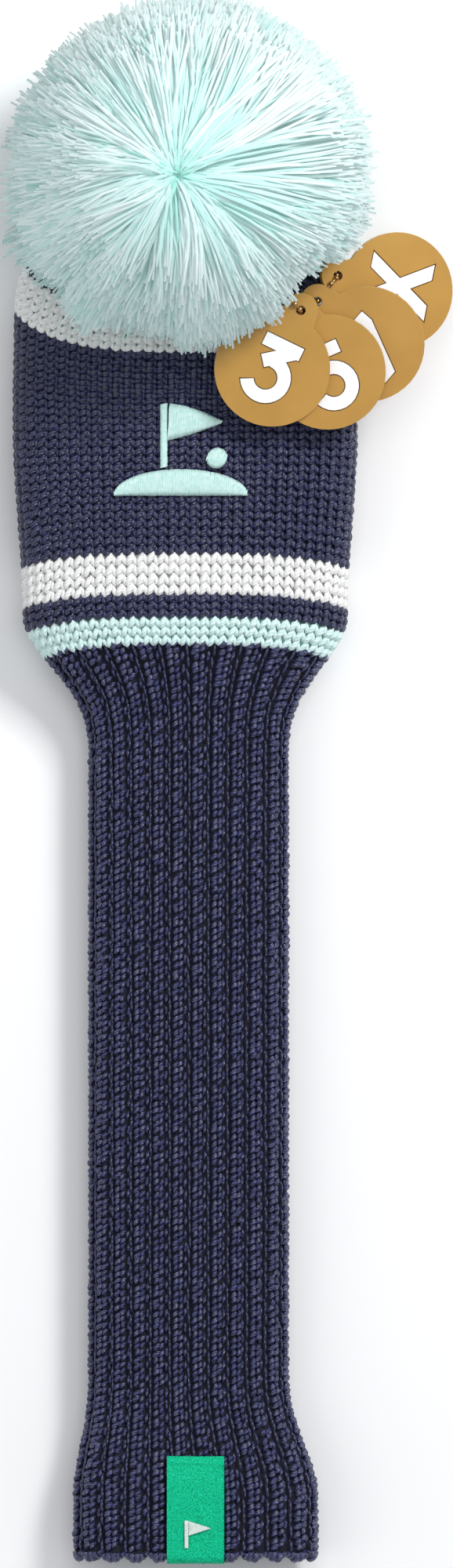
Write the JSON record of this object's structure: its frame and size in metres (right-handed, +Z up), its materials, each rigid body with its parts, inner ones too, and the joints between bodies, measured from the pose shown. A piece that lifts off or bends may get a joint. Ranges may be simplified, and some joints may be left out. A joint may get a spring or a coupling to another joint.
{
  "type": "knitted golf club head cover",
  "caption": "Knitted golf head cover with pom-pom, striped head pouch, long ribbed neck, and a ball chain of swinging number tags.",
  "frame": {"origin": "on the surface the cover lies on, under the middle of the head pouch, on the cover's centre line", "axes": "+Z up off the surface; +Y along the cover from the open mouth to the pom-pom; +X to the side where the tags hang"},
  "size_m": [0.1195, 0.4187, 0.0916],
  "materials": {
    "knit_navy": "lustrous knitted acrylic yarn, dark navy",
    "knit_white": "knitted acrylic yarn, off-white",
    "knit_mint": "knitted acrylic yarn, pale mint",
    "pom_yarn": "soft cut yarn, pale mint",
    "lining": "brushed lining fabric, dark grey-blue",
    "embroidery": "raised satin stitch in pale mint thread",
    "tag_ochre": "satin moulded soft plastic, ochre",
    "numeral_white": "matt white filled numeral",
    "chain_brass": "antiqued brass plate",
    "label_green": "woven satin ribbon, green",
    "label_white": "woven white thread",
    "button": "plain moulded plastic, dark"
  },
  "bodies": {
    "cover": {"crown_navy": "knit_navy", "crown_band": "knit_white", "body_navy": "knit_navy", "stripe_white": "knit_white", "stripe_navy": "knit_navy", "stripe_mint": "knit_mint", "shoulder_rib": "knit_navy", "head_lining": "lining", "tie_button": "button", "chain_loop": "knit_navy", "emblem_green": "embroidery", "emblem_pole": "embroidery", "emblem_flag": "embroidery", "emblem_ball": "embroidery"},
    "neck": {"neck_flex": "knit_navy", "neck_rib": "knit_navy", "hem_rib": "knit_navy", "label": "label_green", "label_mark": "label_white"},
    "pom": {"pom_tie": "pom_yarn", "pom_binding": "pom_yarn", "pom_yarn": "pom_yarn"},
    "chain": {"ball_chain": "chain_brass", "chain_clasp": "chain_brass"},
    "tag_3_body": {"tag_3": "tag_ochre", "numeral_3": "numeral_white"},
    "tag_5_body": {"tag_5": "tag_ochre", "numeral_5": "numeral_white"},
    "tag_7_body": {"tag_7": "tag_ochre", "numeral_7": "numeral_white"},
    "tag_x_body": {"tag_x": "tag_ochre", "numeral_x": "numeral_white"}
  },
  "joints": [
    {"name": "neck_sway", "type": "hinge", "parent": "cover", "child": "neck", "pos_m": [0.0001, -0.099, 0.01], "axis": [0, 0, 1], "range_deg": [-25, 25], "deforming": ["neck_flex"]},
    {"name": "pom_nod", "type": "hinge", "parent": "cover", "child": "pom", "pos_m": [0, 0.05239, 0.02145], "axis": [1, 0, 0], "range_deg": [-8, 18], "deforming": ["pom_yarn"]},
    {"name": "chain_swing", "type": "hinge", "parent": "cover", "child": "chain", "pos_m": [0.0215, 0.0457, 0.0368], "axis": [0, 0, 1], "range_deg": [-8, 8]},
    {"name": "tag_3_swing", "type": "hinge", "parent": "chain", "child": "tag_3_body", "pos_m": [0.0302, 0.0374, 0.03948], "axis": [0, -0.1219, 0.9925], "range_deg": [-15, 40]},
    {"name": "tag_5_swing", "type": "hinge", "parent": "chain", "child": "tag_5_body", "pos_m": [0.0303, 0.0369, 0.03731], "axis": [0, -0.1219, 0.9925], "range_deg": [-40, 25]},
    {"name": "tag_7_swing", "type": "hinge", "parent": "chain", "child": "tag_7_body", "pos_m": [0.03465, 0.0399, 0.0341], "axis": [0, -0.1219, 0.9925], "range_deg": [-35, 15]},
    {"name": "tag_x_swing", "type": "hinge", "parent": "chain", "child": "tag_x_body", "pos_m": [0.0399, 0.0468, 0.0299], "axis": [0.3256, 0, 0.9455], "range_deg": [-35, 10]}
  ]
}
